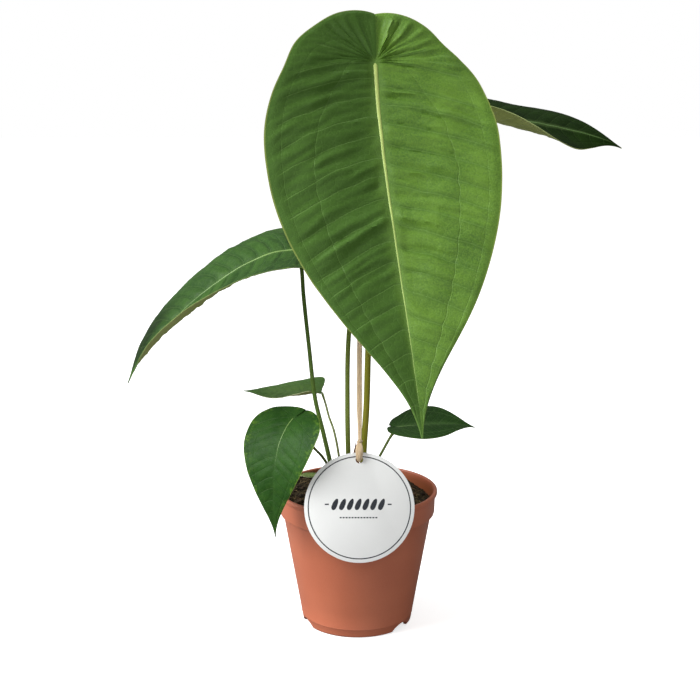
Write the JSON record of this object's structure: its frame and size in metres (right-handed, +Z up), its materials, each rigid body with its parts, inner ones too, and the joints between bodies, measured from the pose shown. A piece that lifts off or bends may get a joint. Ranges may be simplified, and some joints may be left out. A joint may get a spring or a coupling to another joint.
{
  "type": "potted anthurium",
  "caption": "Potted foliage anthurium with drooping heart-shaped leaves on slender stalks in a tapered terracotta-coloured plastic pot, with a round card tag on a raffia tie.",
  "frame": {"origin": "middle of the pot's underside, on the surface that it stands on", "axes": "+Z up along the pot's axis, -Y towards the front, where the big leaf and the tag face, +X to the right seen from the front"},
  "size_m": [0.369, 0.2251, 0.4504],
  "materials": {
    "terracotta_plastic": "satin moulded",
    "potting_mix": "rough crumbly",
    "crown_tissue": "matt",
    "dried_sheath": "dry papery",
    "leaf": "glossy waxy",
    "white_card": "matt printed",
    "raffia": "fibrous",
    "olive_stalk": "satin",
    "green_stalk": "satin",
    "pale_stalk": "satin",
    "bark": "rough"
  },
  "bodies": {
    "root": {"pot": "terracotta_plastic", "potting_soil": "potting_mix", "crown": "crown_tissue", "dry_sheath": "dried_sheath", "soil_leaf": "leaf", "name_tag": "white_card", "raffia_tie": "raffia", "front_leaf_blade": "leaf", "front_leaf_stalk": "olive_stalk", "left_leaf_blade": "leaf", "left_leaf_stalk": "green_stalk", "upper_right_leaf_blade": "leaf", "upper_right_leaf_stalk": "green_stalk", "small_left_leaf_blade": "leaf", "small_left_leaf_stalk": "pale_stalk", "low_left_leaf_blade": "leaf", "low_left_leaf_stalk": "green_stalk", "low_right_leaf_blade": "leaf", "low_right_leaf_stalk": "green_stalk", "bark_chip_1": "bark", "bark_chip_2": "bark", "bark_chip_3": "bark", "bark_chip_4": "bark"}
  },
  "joints": []
}
